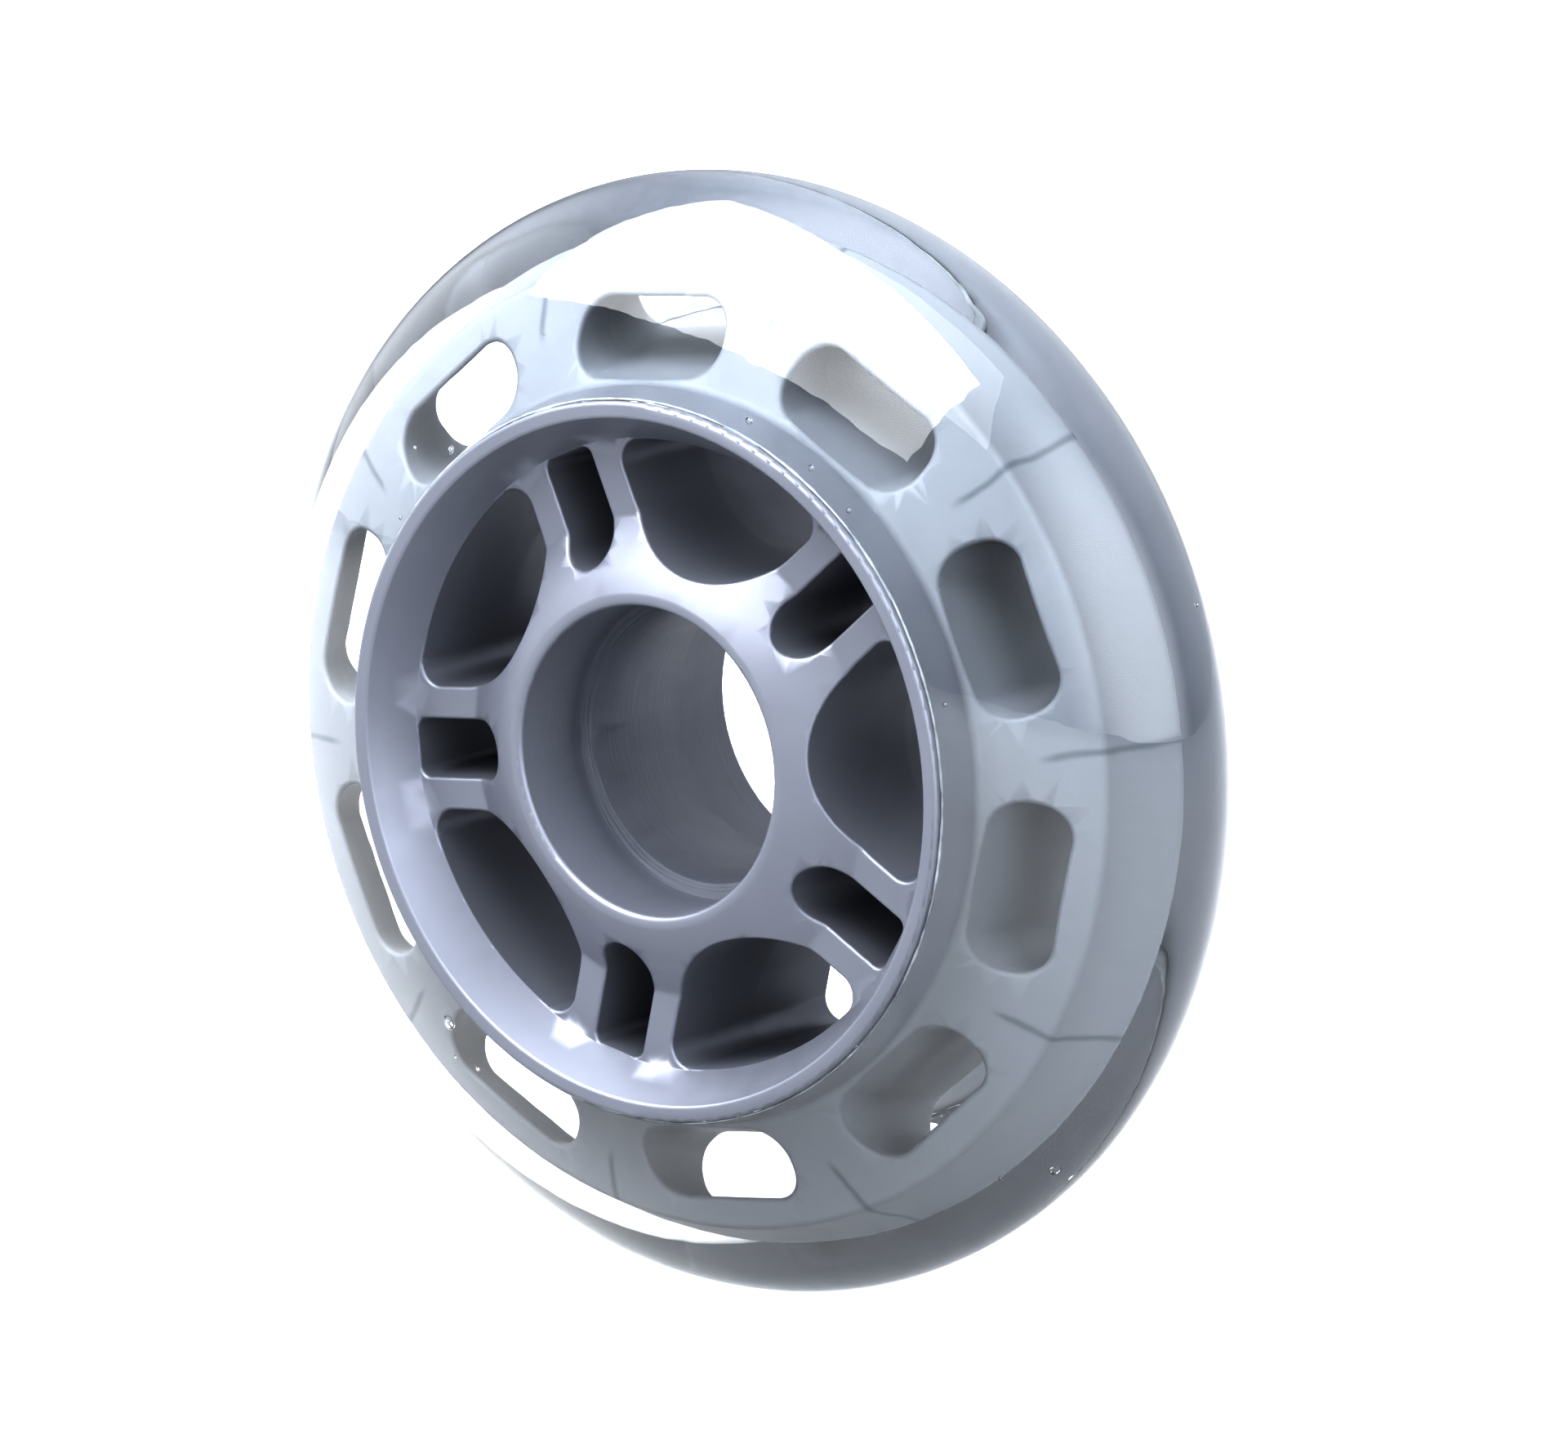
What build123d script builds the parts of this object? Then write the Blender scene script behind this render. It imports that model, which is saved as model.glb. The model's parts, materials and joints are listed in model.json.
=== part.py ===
from build123d import *
import math
import os

# A wheel with a moulded plastic hub and a clear cast tyre, in millimetres.
# The origin is the wheel's centre, the axle lies along Y and +Z is up.
# The hub is the same on both sides, so one half is shaped at y < 0 and mirrored.
# Profiles are drawn with x as the distance from the axle and y along it.

# Rolling size
wheel_diameter = 80.0
tyre_width = 24.2

# Bore: two bearing seats with a narrower shoulder between them
bearing_diameter = 22.0
bearing_width = 7.0
shoulder_length = 10.0
shoulder_step = 1.1
bore_edge_round = 0.5

# Boss: a narrow flat ring round the bore, then a cone down to the spokes
boss_land = 1.0
boss_cone_width = 5.1
boss_cone_round = 1.0
spoke_drop = 2.8

# Collar: the tube that carries the tyre, with a dished recess inside it
collar_lip_wall = 1.1
collar_lip_stand = 0.5
collar_edge_round = 0.35
collar_wall = 3.0

# Spokes: pairs of spokes with a slot in each pair and a window between pairs
pair_count = 5
first_pair_angle = 42.0
spoke_thickness = 2.35
slot_width = 4.2
slot_boss_wall = 3.0
slot_corner_round = 0.6
window_boss_wall = 2.6
window_corner_round = 1.4
rim_ledge = 0.15
draft = 1.0
edge_round = 0.3

# Flange: the ring inside the tyre that locks it to the hub
crown_cover = 6.8
flange_depth = 7.7
flange_edge_width = 6.6
flange_root_width = 14.0
flange_edge_round = 0.7
flange_root_round = 0.8
lock_count = 10
lock_inner_gap = 0.4
lock_outer_wall = 2.5
lock_length = 11.8
lock_corner_round = 2.2
lock_edge_round = 0.4

# Largest error allowed when a finished edge is looked for by its position
tolerance = 0.01

# Sizes that follow from the ones above
wheel_radius = wheel_diameter / 2
seat_radius = bearing_diameter / 2
shoulder_radius = seat_radius - shoulder_step
shoulder_face = shoulder_length / 2
boss_face = shoulder_face + bearing_width
spoke_face = boss_face - spoke_drop
land_radius = seat_radius + boss_land
cone_radius = land_radius + boss_cone_width
flange_radius = wheel_radius - crown_cover
collar_radius = flange_radius - flange_depth
tyre_shoulder = tyre_width / 2
lip_face = tyre_shoulder + collar_lip_stand
lip_radius = collar_radius - collar_lip_wall
recess_radius = collar_radius - collar_wall
rim_radius = recess_radius - rim_ledge
flange_edge = flange_edge_width / 2
flange_root = flange_root_width / 2
lock_depth = flange_depth - lock_inner_gap - lock_outer_wall
pair_pitch = 360 / pair_count
half_pitch = pair_pitch / 2
pair_half_width = slot_width / 2 + spoke_thickness
cut_height = lip_face + 1
draft_gain = spoke_face * math.tan(math.radians(draft))

os.makedirs("parts", exist_ok=True)


def round_corner(sketch, point, radius):
    """Round the corner of a sketch that lies at the given point."""
    fillet(sketch.vertices().sort_by_distance(point)[0], radius)


def is_turned(edge):
    """True for an edge of the turned body: one of its circles, or its seam at Z = 0."""
    box = edge.bounding_box()
    if max(abs(box.min.Z), abs(box.max.Z)) < tolerance:
        return True
    if edge.geom_type != GeomType.CIRCLE:
        return False
    return any(
        abs(edge.radius - circle.radius) < tolerance
        and (edge.arc_center - circle.arc_center).length < tolerance
        for circle in turned_circles
    )


def is_face_edge(edge):
    """True for a window or slot edge on the spokes or on the boss cone."""
    return edge.bounding_box().max.Y < -spoke_face + tolerance and not is_turned(edge)


def is_slot_edge(edge):
    """True for a face edge nearer to a pair's centreline than its spokes' middles."""
    middle = edge.center()
    angle = math.degrees(math.atan2(middle.Z, middle.X)) - first_pair_angle
    turn = math.radians(angle - pair_pitch * round(angle / pair_pitch))
    offset = math.hypot(middle.X, middle.Z) * abs(math.sin(turn))
    return offset < (slot_width + spoke_thickness) / 2 and is_face_edge(edge)


def is_lock_edge(edge):
    """True for a lock window's edge on the front of the flange."""
    middle = edge.center()
    outside = math.hypot(middle.X, middle.Z) > collar_radius
    return outside and edge.bounding_box().max.Y < -flange_edge and not is_turned(edge)


# Window outline at mid-width: two straight spoke sides that run tangent into a
# round inner end, closed by an arc along the collar. It widens by the draft.
window_gap = pair_half_width + draft_gain
window_inner = seat_radius + window_boss_wall + draft_gain
window_outer = rim_radius - draft_gain
half_sine = math.sin(math.radians(half_pitch))
half_cosine = math.cos(math.radians(half_pitch))
side_apex = window_gap / half_sine
end_centre = (window_inner - window_gap) / (1 - half_sine)
touch_run = (end_centre - side_apex) * half_cosine
touch_x = side_apex + touch_run * half_cosine
touch_y = touch_run * half_sine
side_run = math.sqrt(window_outer**2 - window_gap**2)
rim_x = side_run * half_cosine + window_gap * half_sine
rim_y = side_run * half_sine - window_gap * half_cosine
with BuildSketch() as window_outline:
    with BuildLine():
        ThreePointArc((touch_x, -touch_y), (window_inner, 0), (touch_x, touch_y))
        Line((touch_x, touch_y), (rim_x, rim_y))
        ThreePointArc((rim_x, rim_y), (window_outer, 0), (rim_x, -rim_y))
        Line((rim_x, -rim_y), (touch_x, -touch_y))
    make_face()
    round_corner(window_outline, (rim_x, rim_y), window_corner_round)
    round_corner(window_outline, (rim_x, -rim_y), window_corner_round)

# Slot outline at mid-width: a round inner end and two small corners at the collar
slot_half = slot_width / 2 - draft_gain
slot_inner = seat_radius + slot_boss_wall + draft_gain
slot_round_x = slot_inner + slot_half
with BuildSketch() as slot_outline:
    with BuildLine():
        ThreePointArc((slot_round_x, -slot_half), (slot_inner, 0), (slot_round_x, slot_half))
        Line((slot_round_x, slot_half), (window_outer, slot_half))
        Line((window_outer, slot_half), (window_outer, -slot_half))
        Line((window_outer, -slot_half), (slot_round_x, -slot_half))
    make_face()
    round_corner(slot_outline, (window_outer, slot_half), slot_corner_round)
    round_corner(slot_outline, (window_outer, -slot_half), slot_corner_round)

# Lock window outline: a rounded block that lies along the flange
lock_centre = collar_radius + lock_inner_gap + lock_depth / 2
with BuildSketch() as lock_outline:
    with Locations((lock_centre, 0)):
        RectangleRounded(lock_depth, lock_length, lock_corner_round)

# Hub
with BuildPart() as hub:
    # Turned body of one half, from mid-width out to the collar's lip
    with BuildSketch(Plane.XY) as hub_profile:
        with BuildLine():
            Polyline(
                (shoulder_radius, 0),
                (shoulder_radius, -shoulder_face),
                (seat_radius, -shoulder_face),
                (seat_radius, -boss_face),
                (land_radius, -boss_face),
                (cone_radius, -spoke_face),
                (recess_radius, -spoke_face),
                (lip_radius, -lip_face),
                (collar_radius, -lip_face),
                (collar_radius, -flange_root),
                (flange_radius, -flange_edge),
                (flange_radius, 0),
                (shoulder_radius, 0),
            )
        make_face()
        round_corner(hub_profile, (seat_radius, -boss_face), bore_edge_round)
        round_corner(hub_profile, (cone_radius, -spoke_face), boss_cone_round)
        round_corner(hub_profile, (lip_radius, -lip_face), collar_edge_round)
        round_corner(hub_profile, (collar_radius, -lip_face), collar_edge_round)
        round_corner(hub_profile, (collar_radius, -flange_root), flange_root_round)
        round_corner(hub_profile, (flange_radius, -flange_edge), flange_edge_round)
    revolve(axis=Axis.Y)
    turned_circles = hub.edges().filter_by(GeomType.CIRCLE)

    # Windows between the spoke pairs
    with BuildSketch(Plane.XZ):
        with PolarLocations(0, pair_count, start_angle=first_pair_angle + half_pitch):
            add(window_outline.sketch)
    extrude(amount=cut_height, taper=-draft, mode=Mode.SUBTRACT)
    fillet(hub.edges().filter_by(is_face_edge), edge_round)

    # A slot within each pair
    with BuildSketch(Plane.XZ):
        with PolarLocations(0, pair_count, start_angle=first_pair_angle):
            add(slot_outline.sketch)
    extrude(amount=cut_height, taper=-draft, mode=Mode.SUBTRACT)
    fillet(hub.edges().filter_by(is_slot_edge), edge_round)

    # Lock windows through the flange, which the tyre's material fills
    with BuildSketch(Plane.XZ):
        with PolarLocations(0, lock_count, start_angle=first_pair_angle + half_pitch / 2):
            add(lock_outline.sketch)
    extrude(amount=cut_height, taper=-draft, mode=Mode.SUBTRACT)
    fillet(hub.edges().filter_by(is_lock_edge), lock_edge_round)

    mirror(about=Plane.XZ)

hub.part.label = "hub"
export_step(hub.part, "parts/hub.step")

# Tyre: an ellipse of revolution cast round the flange, collar to collar
ellipse_half_width = tyre_shoulder / math.sqrt(1 - (collar_radius / wheel_radius) ** 2)
edge_angle = math.degrees(math.acos(collar_radius / wheel_radius))
with BuildPart() as tyre:
    with BuildSketch(Plane.XY):
        with BuildLine():
            crown = EllipticalCenterArc(
                (0, 0),
                wheel_radius,
                ellipse_half_width,
                start_angle=-edge_angle,
                arc_size=2 * edge_angle,
            )
            Line(crown @ 1, crown @ 0)
        make_face()
    revolve(axis=Axis.Y)
    add(hub.part, mode=Mode.SUBTRACT)

tyre.part.label = "tyre"
export_step(tyre.part, "parts/tyre.step")
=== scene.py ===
# %% [markdown]
# A caster wheel in Blender. The real wheel is two castings: a blue-grey plastic hub and a
# clear polyurethane tyre poured round it. The measured solid model is loaded first, as a
# fixed frame, and every piece made here is placed by it. Lengths are in metres.

import bpy
import json
import math
from mathutils import Matrix, Vector, noise

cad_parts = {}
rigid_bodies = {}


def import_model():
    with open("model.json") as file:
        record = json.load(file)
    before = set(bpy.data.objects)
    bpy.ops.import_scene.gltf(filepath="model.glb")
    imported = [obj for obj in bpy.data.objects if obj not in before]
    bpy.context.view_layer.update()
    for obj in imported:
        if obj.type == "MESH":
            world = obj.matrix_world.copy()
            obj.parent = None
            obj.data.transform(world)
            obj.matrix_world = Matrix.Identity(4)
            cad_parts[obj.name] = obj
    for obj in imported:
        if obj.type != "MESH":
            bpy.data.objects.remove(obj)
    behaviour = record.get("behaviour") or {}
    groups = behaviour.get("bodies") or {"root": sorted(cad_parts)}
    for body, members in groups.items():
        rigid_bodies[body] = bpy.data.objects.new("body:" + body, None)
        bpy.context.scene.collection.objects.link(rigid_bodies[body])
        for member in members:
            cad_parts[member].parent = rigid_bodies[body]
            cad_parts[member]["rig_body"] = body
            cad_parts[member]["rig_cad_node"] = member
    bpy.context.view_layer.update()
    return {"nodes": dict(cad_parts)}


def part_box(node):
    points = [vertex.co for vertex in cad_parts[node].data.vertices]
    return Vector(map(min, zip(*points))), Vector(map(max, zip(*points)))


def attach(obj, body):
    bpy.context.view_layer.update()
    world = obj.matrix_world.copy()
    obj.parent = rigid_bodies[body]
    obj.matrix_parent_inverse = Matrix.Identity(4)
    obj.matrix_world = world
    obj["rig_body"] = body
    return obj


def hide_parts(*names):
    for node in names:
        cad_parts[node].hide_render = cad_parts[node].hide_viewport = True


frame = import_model()
MM = 0.001

# %% [markdown]
# Operators act on whatever is selected, and the frame arrives selected. So each step
# begins by selecting nothing, and selects what it needs by name or by place.


# %% Small helpers for selecting
def select_only(*objects):
    """Select these objects and make the first one active."""
    if bpy.context.object and bpy.context.object.mode != "OBJECT":
        bpy.ops.object.mode_set(mode="OBJECT")
    bpy.ops.object.select_all(action="DESELECT")
    for item in objects:
        item.select_set(True)
    bpy.context.view_layer.objects.active = objects[0]


def start_point(name, place):
    """A new mesh in edit mode that holds one selected vertex, to be drawn out into an outline."""
    bpy.ops.object.select_all(action="DESELECT")
    bpy.ops.mesh.primitive_plane_add(size=MM, location=(0, 0, 0))
    piece = bpy.context.object
    piece.name = piece.data.name = name
    bpy.ops.object.mode_set(mode="EDIT")
    bpy.ops.mesh.select_all(action="SELECT")
    bpy.ops.mesh.merge(type="CENTER")
    bpy.ops.transform.translate(value=place)
    return piece


def draw_on(steps):
    """Extrude the selected vertex through a run of steps, each one a small vector."""
    for step in steps:
        bpy.ops.mesh.extrude_region_move(TRANSFORM_OT_translate={"value": step})


print("helpers ready")

# %% [markdown]
# The camera looks down a little on the wheel's front and tread from far off with a long
# lens, as for a catalogue, so that circles stay clean ellipses.

# %% Camera
VIEW_TURN = math.radians(36.79)
VIEW_RISE = math.radians(12.23)
VIEW_DISTANCE = 0.9035
LENS = 294.6
back = Vector(
    (
        math.sin(VIEW_TURN) * math.cos(VIEW_RISE),
        -math.cos(VIEW_TURN) * math.cos(VIEW_RISE),
        math.sin(VIEW_RISE),
    )
)
bpy.ops.object.camera_add(location=back * VIEW_DISTANCE)
camera = bpy.context.object
camera.name = "camera"
camera.rotation_euler = (-back).to_track_quat("-Z", "Y").to_euler()
camera.data.lens = LENS
camera.data.sensor_width = 36.0
camera.data.shift_x = 0.0230
camera.data.shift_y = 0.0099
camera.data.clip_start = 0.01
bpy.context.scene.camera = camera
print("camera at", tuple(round(c, 4) for c in camera.location))

# %% [markdown]
# The main sizes come from the frame's boxes, so the tyre made here is as large as the
# measured one.

# %% Sizes read from the frame
TYRE_LOW, TYRE_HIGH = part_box("tyre")
HUB_LOW, HUB_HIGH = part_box("hub")
WHEEL_RADIUS = TYRE_HIGH.z
TYRE_HALF_WIDTH = TYRE_HIGH.y
FLANGE_RADIUS = HUB_HIGH.z
LIP_FACE = HUB_HIGH.y
COLLAR_RADIUS = 25.5 * MM
SEAT_RADIUS = 11.0 * MM
print("wheel radius", WHEEL_RADIUS, "half width", TYRE_HALF_WIDTH)

# %% [markdown]
# The hub is moulded in one piece, and its solid is already right. A copy of its mesh has
# its loose triangles merged, so that it can be smoothed, and the parting line, where the
# two halves of the mould met, is marked sharp.

# %% Hub
PARTING_TOLERANCE = 0.002 * MM
select_only(frame["nodes"]["hub"])
bpy.ops.object.duplicate()
hub = bpy.context.object
hub.parent = None
hub.name = hub.data.name = "hub_moulding"
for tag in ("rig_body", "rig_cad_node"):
    if tag in hub:
        del hub[tag]
bpy.ops.object.mode_set(mode="EDIT")
bpy.ops.mesh.select_all(action="SELECT")
bpy.ops.mesh.remove_doubles(threshold=0.0005 * MM)
bpy.ops.object.mode_set(mode="OBJECT")
bpy.ops.object.shade_smooth_by_angle(angle=math.radians(32))
parting = 0
for edge in hub.data.edges:
    ends_at = [hub.data.vertices[i].co.y for i in edge.vertices]
    if max(abs(y) for y in ends_at) < PARTING_TOLERANCE:
        edge.use_edge_sharp = True
        parting += 1
even_shading = hub.modifiers.new("even_shading", "WEIGHTED_NORMAL")
even_shading.keep_sharp = True
bpy.ops.object.modifier_apply(modifier=even_shading.name)
print("hub faces", len(hub.data.polygons), "parting edges", parting)

# %% [markdown]
# The tyre's section is an ellipse centred on the axle, and the tyre is that section spun
# round the axle. Its inner wall lies just inside the collar's plastic, so no air gap shows
# between the clear tyre and the hub it is bonded to.

# %% Tyre
ELLIPSE_HALF_WIDTH = TYRE_HALF_WIDTH / math.sqrt(1 - (COLLAR_RADIUS / WHEEL_RADIUS) ** 2)
INNER_WALL_RADIUS = COLLAR_RADIUS - 0.3 * MM
SECTION_STEPS = 96
SPIN_STEPS = 256
edge_turn = math.acos(INNER_WALL_RADIUS / WHEEL_RADIUS)


def section_point(share):
    """A point of the tyre's section, from the front edge (0) over the tread to the rear edge (1)."""
    turn = edge_turn * (2 * share - 1)
    return Vector((WHEEL_RADIUS * math.cos(turn), ELLIPSE_HALF_WIDTH * math.sin(turn), 0))


tyre = start_point("tyre_casting", section_point(0))
section = [section_point(i / SECTION_STEPS) for i in range(SECTION_STEPS + 1)]
draw_on([b - a for a, b in zip(section, section[1:])])
draw_on([section[0] - section[-1]])
bpy.ops.mesh.select_all(action="SELECT")
bpy.ops.mesh.remove_doubles(threshold=0.001 * MM)
bpy.ops.mesh.select_all(action="SELECT")
bpy.ops.mesh.spin(steps=SPIN_STEPS, angle=2 * math.pi, center=(0, 0, 0), axis=(0, 1, 0))
bpy.ops.mesh.select_all(action="SELECT")
bpy.ops.mesh.remove_doubles(threshold=0.001 * MM)
bpy.ops.mesh.select_all(action="SELECT")
bpy.ops.mesh.normals_make_consistent(inside=False)
bpy.ops.object.mode_set(mode="OBJECT")
bpy.ops.object.shade_smooth_by_angle(angle=math.radians(40))
print("tyre faces", len(tyre.data.polygons))


# %% [markdown]
# The plastic flange lies inside the tyre, and clear polyurethane fills its lock windows.
# A copy of the hub, shrunk by a hair so that the clear tyre always meets plastic and never
# air, is cut out of the tyre. What is left is the casting as it would come off the hub.

# %% Tyre cavity
BOND_OVERLAP = 0.03 * MM
select_only(hub)
bpy.ops.object.duplicate()
core = bpy.context.object
core.name = "tyre_core"
shrink = core.modifiers.new("shrink", "DISPLACE")
shrink.strength = -BOND_OVERLAP
shrink.mid_level = 0.0
bpy.ops.object.modifier_apply(modifier=shrink.name)
select_only(tyre)
cavity = tyre.modifiers.new("cavity", "BOOLEAN")
cavity.operation = "DIFFERENCE"
cavity.solver = "EXACT"
cavity.object = core
bpy.ops.object.modifier_apply(modifier=cavity.name)
select_only(core)
bpy.ops.object.delete()
select_only(tyre)
bpy.ops.object.shade_smooth_by_angle(angle=math.radians(32))
print("tyre faces with its cavity", len(tyre.data.polygons))

# %% [markdown]
# The casting trapped a few air bubbles, most of them along the collar where the mould
# closed. A bubble is a small sphere turned inside out and joined to the tyre, so that its
# faces point out of the polyurethane and into the air. Each is a little squashed.

# %% Bubbles
# radius from the axle, turn in degrees, depth along the axle, size, all in millimetres
BUBBLES = (
    (28.4, 229, -9.4, 0.55),
    (29.6, 236, -8.6, 0.22),
    (30.6, 232, -8.3, 0.14),
    (26.5, 71, -11.3, 0.28),
    (26.4, 58, -11.4, 0.24),
    (26.3, 49, -11.5, 0.20),
    (26.5, 131, -11.3, 0.30),
    (26.3, 146, -11.5, 0.18),
    (26.4, 16, -11.4, 0.16),
    (29.0, 139, -8.4, 0.16),
    (30.2, 112, -7.2, 0.12),
    (36.6, 312, -3.4, 0.20),
    (35.8, 20, 3.2, 0.16),
    (27.6, 301, 10.4, 0.30),
    (26.6, 200, 11.2, 0.24),
    (29.8, 77, 8.6, 0.20),
)
bubbles = []
for reach, turn_degrees, depth, size in BUBBLES:
    a = math.radians(turn_degrees)
    bpy.ops.object.select_all(action="DESELECT")
    bpy.ops.mesh.primitive_ico_sphere_add(
        subdivisions=3,
        radius=size * MM,
        location=(reach * MM * math.cos(a), depth * MM, reach * MM * math.sin(a)),
        scale=(1.0, 0.85, 1.1),
    )
    bpy.ops.object.transform_apply(location=True, rotation=True, scale=True)
    bpy.ops.object.mode_set(mode="EDIT")
    bpy.ops.mesh.select_all(action="SELECT")
    bpy.ops.mesh.flip_normals()
    bpy.ops.object.mode_set(mode="OBJECT")
    bpy.ops.object.shade_smooth()
    bubbles.append(bpy.context.object)
select_only(tyre, *bubbles)
bpy.ops.object.join()
print("bubbles", len(bubbles), "tyre faces", len(tyre.data.polygons))

# %% [markdown]
# Where the tyre meets the collar, a thin ragged bead of flash was left when the casting
# was trimmed. A small three-sided section is spun round the axle, then its points are
# moved in and out by a repeatable noise so that the bead comes and goes.


# %% Flash beads
FLASH_STEPS = 720
FLASH_HEIGHT = 0.12 * MM
FLASH_WIDTH = 0.22 * MM


def flash_bead(name, side):
    """A ragged bead round the collar's edge, on the front (side -1) or the rear (side 1)."""
    reach = COLLAR_RADIUS + 0.02 * MM
    level = side * (ELLIPSE_HALF_WIDTH * math.sqrt(1 - (reach / WHEEL_RADIUS) ** 2) - 0.05 * MM)
    bead = start_point(name, (reach, level, 0))
    draw_on(
        [
            (0.0, side * FLASH_HEIGHT, 0.0),
            (FLASH_WIDTH * 0.5, -side * FLASH_HEIGHT * 0.3, 0.0),
            (FLASH_WIDTH * 0.5, -side * FLASH_HEIGHT * 1.1, 0.0),
            (-FLASH_WIDTH, side * FLASH_HEIGHT * 0.4, 0.0),
        ]
    )
    bpy.ops.mesh.select_all(action="SELECT")
    bpy.ops.mesh.remove_doubles(threshold=0.001 * MM)
    bpy.ops.mesh.select_all(action="SELECT")
    bpy.ops.mesh.spin(steps=FLASH_STEPS, angle=2 * math.pi, center=(0, 0, 0), axis=(0, 1, 0))
    bpy.ops.mesh.select_all(action="SELECT")
    bpy.ops.mesh.remove_doubles(threshold=0.001 * MM)
    bpy.ops.mesh.select_all(action="SELECT")
    bpy.ops.mesh.normals_make_consistent(inside=False)
    bpy.ops.object.mode_set(mode="OBJECT")
    for vertex in bead.data.vertices:
        place = vertex.co
        out = Vector((place.x, 0, place.z)).normalized()
        rise = side * (place.y - level)
        lump = noise.noise(place * 900 + Vector((side * 7.0, 0, 0)))
        clump = noise.noise(place * 160 + Vector((0, side * 3.0, 0)))
        keep = min(1.0, max(0.0, 0.30 + 1.8 * clump + 0.9 * lump))
        if rise > 0:
            vertex.co.y -= side * rise * (1 - keep)
        vertex.co += out * lump * 0.07 * MM * keep
    bpy.ops.object.shade_smooth()
    print(name, "faces", len(bead.data.polygons))
    return bead


flash_beads = [flash_bead("flash_front", -1), flash_bead("flash_rear", 1)]


# %% [markdown]
# Materials. Every material starts from one Principled shader.

# %% Hub plastic
def new_material(name):
    """A material that holds one Principled shader, and its node tree and that shader."""
    material = bpy.data.materials.new(name)
    material.use_nodes = True
    tree = material.node_tree
    return material, tree, tree.nodes["Principled BSDF"]


def add_node(tree, kind, **settings):
    """A new node with these settings."""
    node = tree.nodes.new("ShaderNode" + kind)
    for key, value in settings.items():
        setattr(node, key, value)
    return node


def math_node(tree, operation, *values):
    """A maths node. Each value is a number or the socket that gives it; its result is returned."""
    node = add_node(tree, "Math", operation=operation)
    for socket, value in zip(node.inputs, values):
        if isinstance(value, (int, float)):
            socket.default_value = value
        else:
            tree.links.new(value, socket)
    return node.outputs[0]


def step_up(tree, value, low, high):
    """0 below low and 1 above high, with a smooth rise between. It falls instead if low is above high."""
    node = add_node(tree, "MapRange", interpolation_type="SMOOTHSTEP")
    tree.links.new(value, node.inputs["Value"])
    rising = low < high
    node.inputs["From Min"].default_value = low if rising else high
    node.inputs["From Max"].default_value = high if rising else low
    node.inputs["To Min"].default_value = 0.0 if rising else 1.0
    node.inputs["To Max"].default_value = 1.0 if rising else 0.0
    return node.outputs["Result"]


def noise_of(tree, vector, scale, detail):
    """A noise texture's value at a vector."""
    node = add_node(tree, "TexNoise")
    node.inputs["Scale"].default_value = scale
    node.inputs["Detail"].default_value = detail
    tree.links.new(vector, node.inputs["Vector"])
    return node.outputs["Fac"]


# %% [markdown]
# Both castings are round, so their marks are easiest to place by turn and radius. This
# group turns Object coordinates into those, and each material places it once.

# %% Group: round place
round_place = bpy.data.node_groups.new("round_place", "ShaderNodeTree")
for socket_name, socket_kind in (
    ("Point", "NodeSocketVector"),
    ("Turn", "NodeSocketFloat"),
    ("Radius", "NodeSocketFloat"),
    ("Along", "NodeSocketFloat"),
):
    round_place.interface.new_socket(name=socket_name, in_out="OUTPUT", socket_type=socket_kind)
coordinates = add_node(round_place, "TexCoord")
parts = add_node(round_place, "SeparateXYZ")
ends = round_place.nodes.new("NodeGroupOutput")
round_place.links.new(coordinates.outputs["Object"], parts.inputs[0])
flat_x, along, flat_z = parts.outputs
square_x = math_node(round_place, "MULTIPLY", flat_x, flat_x)
square_z = math_node(round_place, "MULTIPLY", flat_z, flat_z)
radius = math_node(round_place, "SQRT", math_node(round_place, "ADD", square_x, square_z))
turn = math_node(round_place, "ARCTAN2", flat_z, flat_x)
for source, name in (
    (coordinates.outputs["Object"], "Point"),
    (turn, "Turn"),
    (radius, "Radius"),
    (along, "Along"),
):
    round_place.links.new(source, ends.inputs[name])
print("group", round_place.name)


def place_round(tree):
    """Place the round_place group in a material, and return its point, turn, radius and along."""
    node = tree.nodes.new("ShaderNodeGroup")
    node.node_tree = round_place
    return [node.outputs[n] for n in ("Point", "Turn", "Radius", "Along")]


# %% [markdown]
# The plastic is a glass-filled nylon: blue-grey, slightly mottled, with a soft shine.
# Knit lines, where two streams of plastic met in the mould, run across the flange between
# the lock windows. The bore carries fine rings from the tool that sized it.

# %% Hub plastic
KNIT_PITCH = math.radians(36)
KNIT_TURN = math.radians(42)
KNIT_WIDTH = 0.42 * MM
hub_plastic, tree, shader = new_material("moulded_nylon")
point, turn, radius, along = place_round(tree)
mottle = noise_of(tree, point, 90, 3)
cloud = noise_of(tree, point, 420, 2)

wander = math_node(tree, "MULTIPLY", math_node(tree, "SUBTRACT", noise_of(tree, point, 170, 2), 0.5), 0.05)
sector = math_node(tree, "DIVIDE", math_node(tree, "ADD", math_node(tree, "SUBTRACT", turn, KNIT_TURN), wander), KNIT_PITCH)
off_line = math_node(tree, "SUBTRACT", sector, math_node(tree, "ROUND", sector))
line_gap = math_node(tree, "ABSOLUTE", math_node(tree, "MULTIPLY", math_node(tree, "MULTIPLY", off_line, KNIT_PITCH), radius))
knit = step_up(tree, line_gap, KNIT_WIDTH, 0.0)
on_flange = step_up(tree, radius, COLLAR_RADIUS + 3.4 * MM, COLLAR_RADIUS + 5.0 * MM)
knit_flange = math_node(tree, "MULTIPLY", knit, on_flange)

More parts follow.
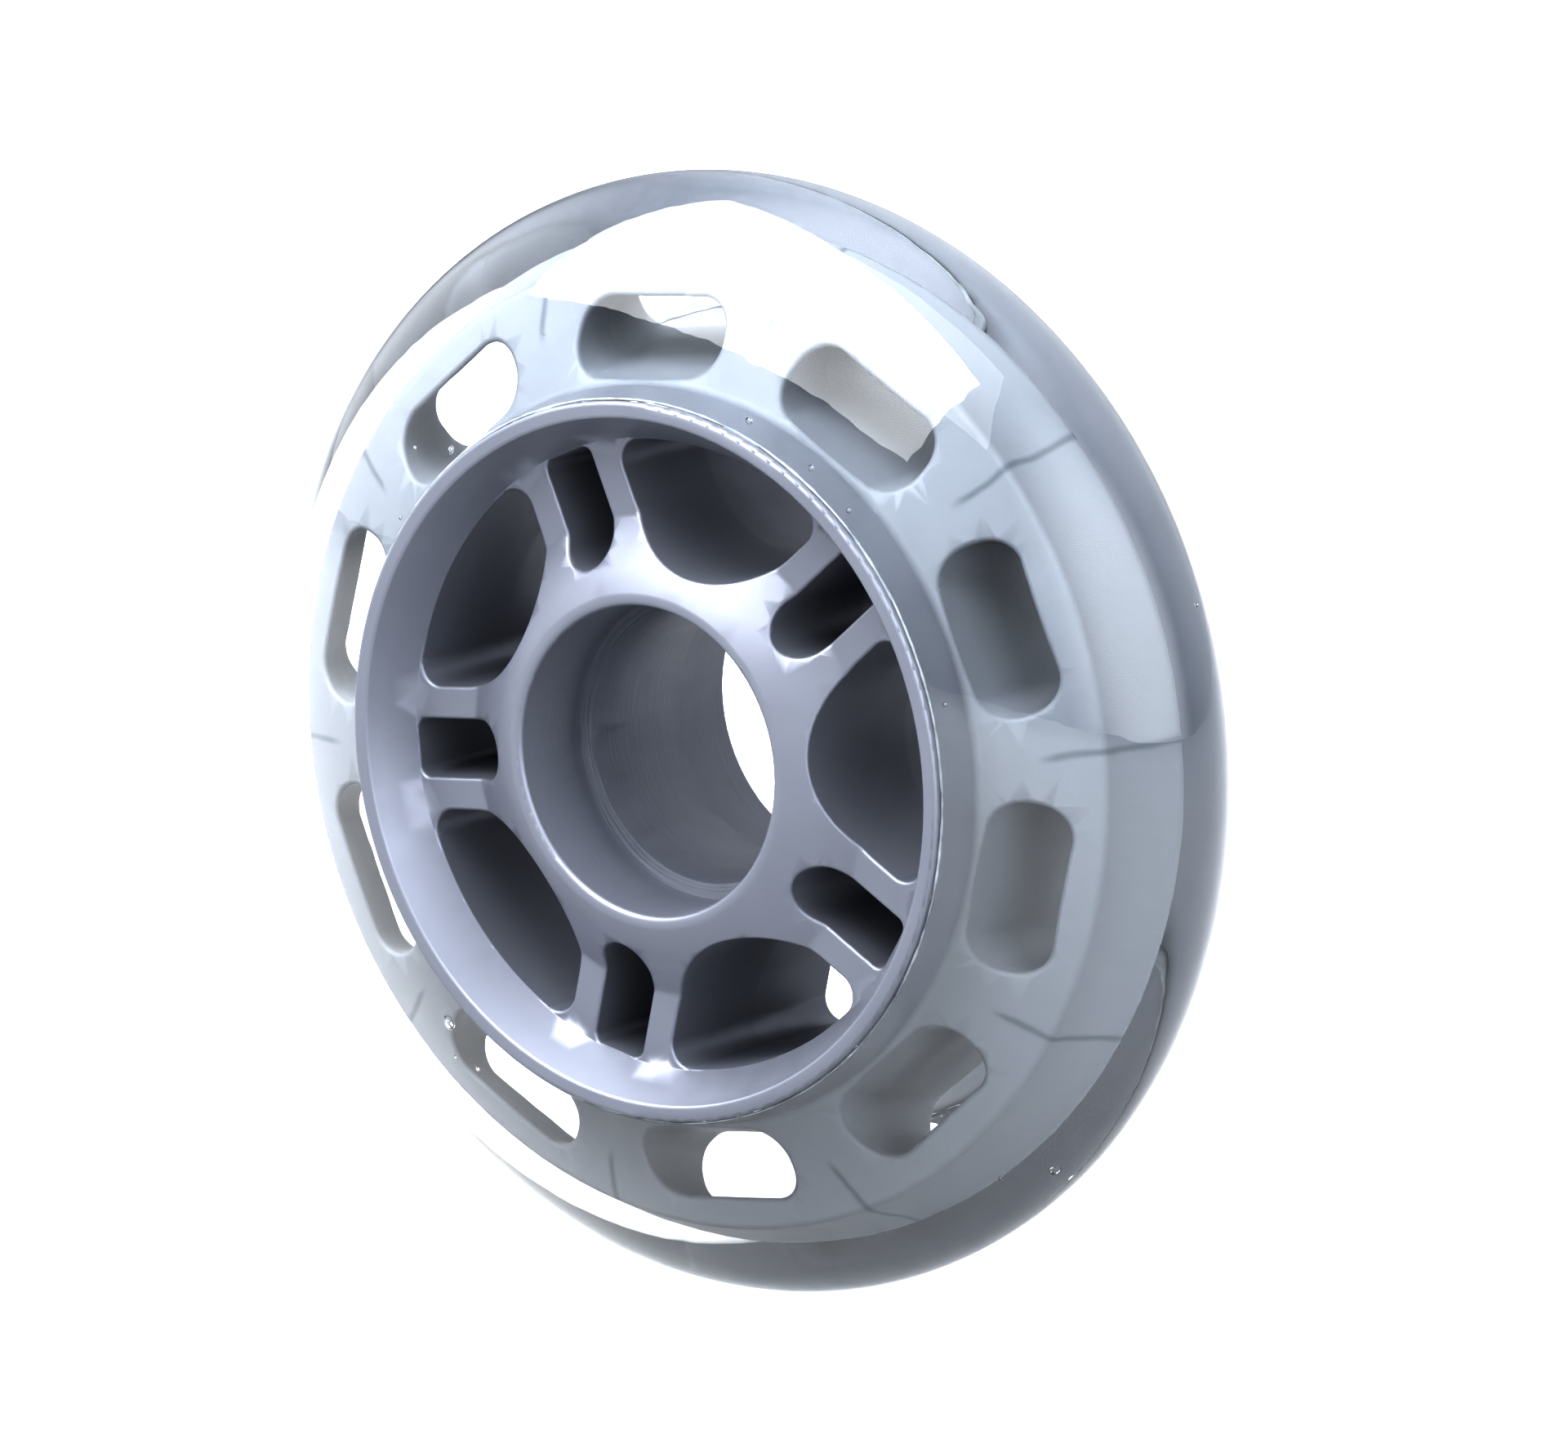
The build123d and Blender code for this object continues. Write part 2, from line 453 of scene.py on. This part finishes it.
lighter = add_node(tree, "Mix", data_type="RGBA", blend_type="MIX")
lighter.inputs["A"].default_value = (0.185, 0.197, 0.231, 1)
lighter.inputs["B"].default_value = (0.222, 0.234, 0.270, 1)
tree.links.new(mottle, lighter.inputs["Factor"])
wetted = add_node(tree, "Mix", data_type="RGBA", blend_type="MIX")
wetted.inputs["B"].default_value = (0.168, 0.180, 0.203, 1)
tree.links.new(lighter.outputs["Result"], wetted.inputs["A"])
bonded = step_up(tree, radius, COLLAR_RADIUS - 0.1 * MM, COLLAR_RADIUS + 0.1 * MM)
tree.links.new(bonded, wetted.inputs["Factor"])
lined = add_node(tree, "Mix", data_type="RGBA", blend_type="MIX")
lined.inputs["B"].default_value = (0.060, 0.075, 0.095, 1)
tree.links.new(wetted.outputs["Result"], lined.inputs["A"])
tree.links.new(math_node(tree, "MULTIPLY", knit_flange, 0.75), lined.inputs["Factor"])
tree.links.new(lined.outputs["Result"], shader.inputs["Base Color"])

in_bore = step_up(tree, radius, SEAT_RADIUS + 0.4 * MM, SEAT_RADIUS + 0.1 * MM)
streak_place = add_node(tree, "CombineXYZ")
tree.links.new(math_node(tree, "MULTIPLY", turn, 0.6), streak_place.inputs["X"])
tree.links.new(math_node(tree, "MULTIPLY", along, 1500), streak_place.inputs["Y"])
tree.links.new(math_node(tree, "MULTIPLY", radius, 1500), streak_place.inputs["Z"])
streaks = noise_of(tree, streak_place.outputs[0], 2.2, 4)
ring_height = math_node(tree, "MULTIPLY", math_node(tree, "MULTIPLY", streaks, in_bore), 5.0)
grain = noise_of(tree, point, 5200, 3)
height = math_node(tree, "ADD", math_node(tree, "MULTIPLY", grain, math_node(tree, "MULTIPLY", math_node(tree, "SUBTRACT", 1.0, bonded), 0.2)), ring_height)
height = math_node(tree, "SUBTRACT", height, math_node(tree, "MULTIPLY", knit_flange, 0.8))
bump = add_node(tree, "Bump")
bump.inputs["Distance"].default_value = 0.012 * MM
bump.inputs["Strength"].default_value = 0.6
tree.links.new(height, bump.inputs["Height"])
tree.links.new(bump.outputs["Normal"], shader.inputs["Normal"])

rough = add_node(tree, "MapRange")
rough.inputs["To Min"].default_value = 0.40
rough.inputs["To Max"].default_value = 0.52
tree.links.new(cloud, rough.inputs["Value"])
tree.links.new(math_node(tree, "ADD", rough.outputs["Result"], math_node(tree, "MULTIPLY", bonded, 0.12)), shader.inputs["Roughness"])
metal_flake = math_node(tree, "SUBTRACT", 0.5, math_node(tree, "MULTIPLY", bonded, 0.4))
tree.links.new(metal_flake, shader.inputs["Metallic"])
shader.inputs["Specular IOR Level"].default_value = 0.8
hub.data.materials.clear()
hub.data.materials.append(hub_plastic)
print("hub material nodes", len(tree.nodes))

# %% Clear polyurethane
clear_cast, tree, shader = new_material("clear_polyurethane")
shader.inputs["Base Color"].default_value = (0.94, 0.97, 0.985, 1)
shader.inputs["Roughness"].default_value = 0.0
shader.inputs["IOR"].default_value = 1.5
shader.inputs["Transmission Weight"].default_value = 1.0
point, turn, radius, along = place_round(tree)
ripple = math_node(tree, "ADD", noise_of(tree, point, 75, 1), math_node(tree, "MULTIPLY", noise_of(tree, point, 420, 1), 0.12))
bump = add_node(tree, "Bump")
bump.inputs["Distance"].default_value = 0.10 * MM
bump.inputs["Strength"].default_value = 1.0
tree.links.new(ripple, bump.inputs["Height"])
tree.links.new(bump.outputs["Normal"], shader.inputs["Normal"])
light_path = tree.nodes.new("ShaderNodeLightPath")
let_through = tree.nodes.new("ShaderNodeBsdfTransparent")
let_through.inputs["Color"].default_value = (0.95, 0.97, 0.98, 1)
choose = tree.nodes.new("ShaderNodeMixShader")
output = tree.nodes["Material Output"]
tree.links.new(light_path.outputs["Is Shadow Ray"], choose.inputs["Fac"])
tree.links.new(shader.outputs["BSDF"], choose.inputs[1])
tree.links.new(let_through.outputs["BSDF"], choose.inputs[2])
tree.links.new(choose.outputs["Shader"], output.inputs["Surface"])
tyre.data.materials.clear()
tyre.data.materials.append(clear_cast)

# %% Flash
flash_film, tree, shader = new_material("trimmed_flash")
point, turn, radius, along = place_round(tree)
shade = add_node(tree, "Mix", data_type="RGBA", blend_type="MIX")
shade.inputs["A"].default_value = (0.08, 0.09, 0.11, 1)
shade.inputs["B"].default_value = (0.42, 0.45, 0.48, 1)
tree.links.new(noise_of(tree, point, 700, 2), shade.inputs["Factor"])
tree.links.new(shade.outputs["Result"], shader.inputs["Base Color"])
shader.inputs["Roughness"].default_value = 0.25
for bead in flash_beads:
    bead.data.materials.clear()
    bead.data.materials.append(flash_film)

# %% Ride on the frame
for bead in flash_beads:
    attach(bead, "root")
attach(hub, "root")
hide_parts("hub")
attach(tyre, "root")
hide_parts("tyre")

# %% Floor
bpy.ops.object.select_all(action="DESELECT")
bpy.ops.mesh.primitive_plane_add(size=8, location=(0, 0, TYRE_LOW.z))
floor = bpy.context.object
floor.name = "floor"
floor_paint, tree, shader = new_material("pale_floor")
shader.inputs["Base Color"].default_value = (0.92, 0.92, 0.92, 1)
shader.inputs["Roughness"].default_value = 0.9
light_path = tree.nodes.new("ShaderNodeLightPath")
dim_floor = tree.nodes.new("ShaderNodeBsdfDiffuse")
dim_floor.inputs["Color"].default_value = (0.45, 0.45, 0.45, 1)
choose = tree.nodes.new("ShaderNodeMixShader")
not_sharp = math_node(tree, "SUBTRACT", 1.0, light_path.outputs["Is Singular Ray"])
soft_glossy = math_node(tree, "MULTIPLY", light_path.outputs["Is Glossy Ray"], not_sharp)
after_matt = math_node(tree, "GREATER_THAN", light_path.outputs["Diffuse Depth"], 0.5)
bounced = math_node(tree, "MAXIMUM", after_matt, soft_glossy)
tree.links.new(bounced, choose.inputs["Fac"])
tree.links.new(shader.outputs["BSDF"], choose.inputs[1])
tree.links.new(dim_floor.outputs["BSDF"], choose.inputs[2])
tree.links.new(choose.outputs["Shader"], tree.nodes["Material Output"].inputs["Surface"])
floor.data.materials.append(floor_paint)


# %% Lights
def softbox(name, azimuth, rise, distance, width, height, radiance):
    """A rectangular soft light that faces the wheel. Azimuth 0 is the front, and + is to the right."""
    a, e = math.radians(azimuth), math.radians(rise)
    way = Vector((math.sin(a) * math.cos(e), -math.cos(a) * math.cos(e), math.sin(e)))
    bpy.ops.object.light_add(type="AREA", location=way * distance)
    lamp = bpy.context.object
    lamp.name = name
    lamp.rotation_euler = (-way).to_track_quat("-Z", "Y").to_euler()
    lamp.data.shape = "RECTANGLE"
    lamp.data.size = width
    lamp.data.size_y = height
    lamp.data.energy = radiance * math.pi * width * height
    return lamp


key = softbox("key_softbox", -36, 53, 1.1, 1.45, 0.90, 6.2)
top_light = softbox("top_softbox", -8, 62, 0.26, 0.26, 0.16, 1.6)

world = bpy.data.worlds.new("studio")
bpy.context.scene.world = world
world.use_nodes = True
tree = world.node_tree
sky = tree.nodes["Background"]


def glow(azimuth, rise, inner, outer, strength):
    """Brightness of a soft-edged glow round a direction, for angles from inner to outer degrees off it."""
    a, e = math.radians(azimuth), math.radians(rise)
    way = (math.sin(a) * math.cos(e), -math.cos(a) * math.cos(e), math.sin(e))
    where = add_node(tree, "TexCoord")
    closeness = add_node(tree, "VectorMath", operation="DOT_PRODUCT")
    closeness.inputs[1].default_value = way
    tree.links.new(where.outputs["Generated"], closeness.inputs[0])
    soft = step_up(tree, closeness.outputs["Value"], math.cos(math.radians(outer)), math.cos(math.radians(inner)))
    return math_node(tree, "MULTIPLY", soft, strength)


light = math_node(tree, "ADD", glow(70, 18, 10, 45, 4.5), 0.06)
light = math_node(tree, "ADD", glow(172, 22, 20, 65, 1.0), light)
light = math_node(tree, "ADD", glow(0, 84, 12, 45, 1.8), light)
light = math_node(tree, "ADD", glow(-92, 8, 12, 42, 2.0), light)
light = math_node(tree, "ADD", glow(-15, 25, 10, 55, 0.55), light)
light_path = tree.nodes.new("ShaderNodeLightPath")
before_matt = math_node(tree, "LESS_THAN", light_path.outputs["Diffuse Depth"], 0.5)
clear_ray = math_node(tree, "MULTIPLY", light_path.outputs["Is Transmission Ray"], before_matt)
seen_through = math_node(tree, "MULTIPLY", clear_ray, 0.5)
light = math_node(tree, "ADD", seen_through, light)
tree.links.new(light, sky.inputs["Strength"])
sky.inputs["Color"].default_value = (0.96, 0.975, 1.0, 1)

bpy.context.scene.view_settings.view_transform = "Standard"
bpy.context.scene.view_settings.gamma = 0.58
bpy.context.scene.view_settings.exposure = 0.46
bpy.context.scene.cycles.use_denoising = True
